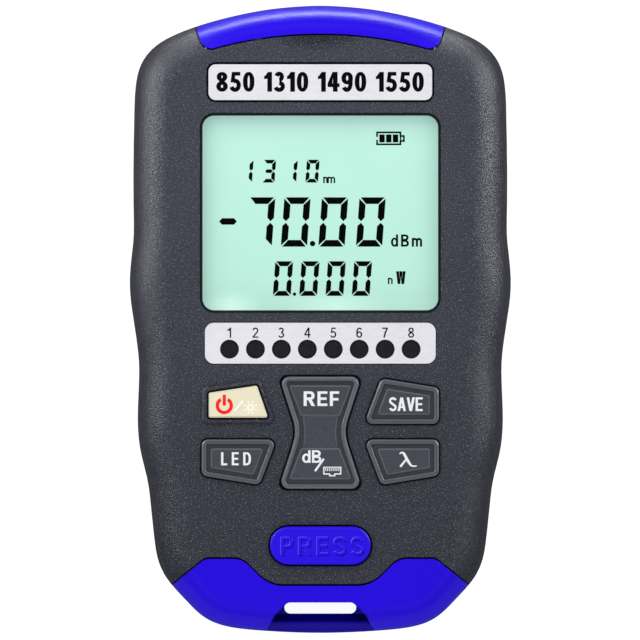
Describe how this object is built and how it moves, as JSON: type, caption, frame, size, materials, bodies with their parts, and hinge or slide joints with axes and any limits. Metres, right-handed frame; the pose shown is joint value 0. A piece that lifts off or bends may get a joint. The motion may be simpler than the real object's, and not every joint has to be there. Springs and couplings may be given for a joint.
{
  "type": "optical power meter",
  "caption": "Hand-held optical power meter with display, keypad, lamp row, hinged port cover, release button and a slide-out cable-test remote.",
  "frame": {"origin": "centre of the footprint, on the surface the meter lies on (back down)", "axes": "+Z out of the display face, +Y towards the port end, +X to the right of the display"},
  "size_m": [0.0736, 0.1212, 0.0294],
  "materials": {
    "front_casing": "fine textured",
    "rear_casing": "fine textured",
    "port_cover": "satin",
    "hinge_pin": "satin",
    "casing_screws": "blackened",
    "display_window": "clear",
    "lcd_glass": "polished",
    "lcd_backlight": "satin",
    "lcd_connector": "matt",
    "name_plate": "satin",
    "led_strip": "satin",
    "led_windows": "smoked",
    "indicator_leds": "glossy",
    "main_board": "satin",
    "board_screws": "satin",
    "tact_switches": "satin",
    "save_key": "matt",
    "led_key": "matt",
    "wavelength_key": "matt",
    "power_key": "matt",
    "ref_db_key": "matt",
    "press_button": "satin",
    "press_spring": "satin",
    "dock_roof": "satin",
    "battery_door": "fine textured",
    "battery_cells": "gloss",
    "battery_springs": "satin",
    "battery_plates": "satin",
    "rj45_jack": "satin",
    "rj45_contacts": "gold plated",
    "port_panel": "satin",
    "optical_adapter": "nickel",
    "ferrule_sleeve": "polished",
    "adapter_screws": "satin",
    "photodetector": "satin",
    "torch_led": "clear",
    "torch_bezel": "bright",
    "remote_front_shell": "satin",
    "remote_rear_shell": "satin",
    "remote_jack": "satin",
    "remote_contacts": "gold plated",
    "remote_board": "satin",
    "remote_diodes": "polished",
    "remote_screws": "blackened"
  },
  "bodies": {
    "casing": {"front_casing": "front_casing", "rear_casing": "rear_casing", "hinge_pin": "hinge_pin", "casing_screws": "casing_screws", "display_window": "display_window", "lcd_glass": "lcd_glass", "lcd_backlight": "lcd_backlight", "lcd_connector": "lcd_connector", "name_plate": "name_plate", "led_strip": "led_strip", "led_windows": "led_windows", "indicator_leds": "indicator_leds", "main_board": "main_board", "board_screws": "board_screws", "tact_switches": "tact_switches", "press_spring": "press_spring", "dock_roof": "dock_roof", "battery_cells": "battery_cells", "battery_springs": "battery_springs", "battery_plates": "battery_plates", "rj45_jack": "rj45_jack", "rj45_contacts": "rj45_contacts", "port_panel": "port_panel", "optical_adapter": "optical_adapter", "ferrule_sleeve": "ferrule_sleeve", "adapter_screws": "adapter_screws", "photodetector": "photodetector", "torch_led": "torch_led", "torch_bezel": "torch_bezel"},
    "cover": {"port_cover": "port_cover"},
    "remote": {"remote_front_shell": "remote_front_shell", "remote_rear_shell": "remote_rear_shell", "remote_jack": "remote_jack", "remote_contacts": "remote_contacts", "remote_board": "remote_board", "remote_diodes": "remote_diodes", "remote_screws": "remote_screws"},
    "release_button": {"press_button": "press_button"},
    "power": {"power_key": "power_key"},
    "save": {"save_key": "save_key"},
    "lamp": {"led_key": "led_key"},
    "wavelength": {"wavelength_key": "wavelength_key"},
    "rocker": {"ref_db_key": "ref_db_key"},
    "door": {"battery_door": "battery_door"}
  },
  "joints": [
    {"name": "cover_hinge", "type": "hinge", "parent": "casing", "child": "cover", "pos_m": [0, 0.0536, 0.0027], "axis": [-1, 0, 0], "range_deg": [0, 90]},
    {"name": "remote_slide", "type": "slide", "parent": "casing", "child": "remote", "axis": [0, -1, 0], "range_m": [0, 0.04]},
    {"name": "release_press", "type": "slide", "parent": "casing", "child": "release_button", "axis": [0, 0, -1], "range_m": [0, 0.0016], "stiffness_N_per_m": 600, "deforming": ["press_spring"]},
    {"name": "power_press", "type": "slide", "parent": "casing", "child": "power", "axis": [0, 0, -1], "range_m": [0, 0.0006], "stiffness_N_per_m": 1500},
    {"name": "save_press", "type": "slide", "parent": "casing", "child": "save", "axis": [0, 0, -1], "range_m": [0, 0.0006], "stiffness_N_per_m": 1500},
    {"name": "led_press", "type": "slide", "parent": "casing", "child": "lamp", "axis": [0, 0, -1], "range_m": [0, 0.0006], "stiffness_N_per_m": 1500},
    {"name": "wavelength_press", "type": "slide", "parent": "casing", "child": "wavelength", "axis": [0, 0, -1], "range_m": [0, 0.0006], "stiffness_N_per_m": 1500},
    {"name": "rocker_tilt", "type": "hinge", "parent": "casing", "child": "rocker", "pos_m": [0, -0.02175, 0.023], "axis": [1, 0, 0], "range_deg": [-2.2, 2.2], "stiffness_Nm_per_rad": 0.4},
    {"name": "door_hinge", "type": "hinge", "parent": "casing", "child": "door", "pos_m": [0, -0.0209, 0.00105], "axis": [-1, 0, 0], "range_deg": [0, 80]}
  ]
}
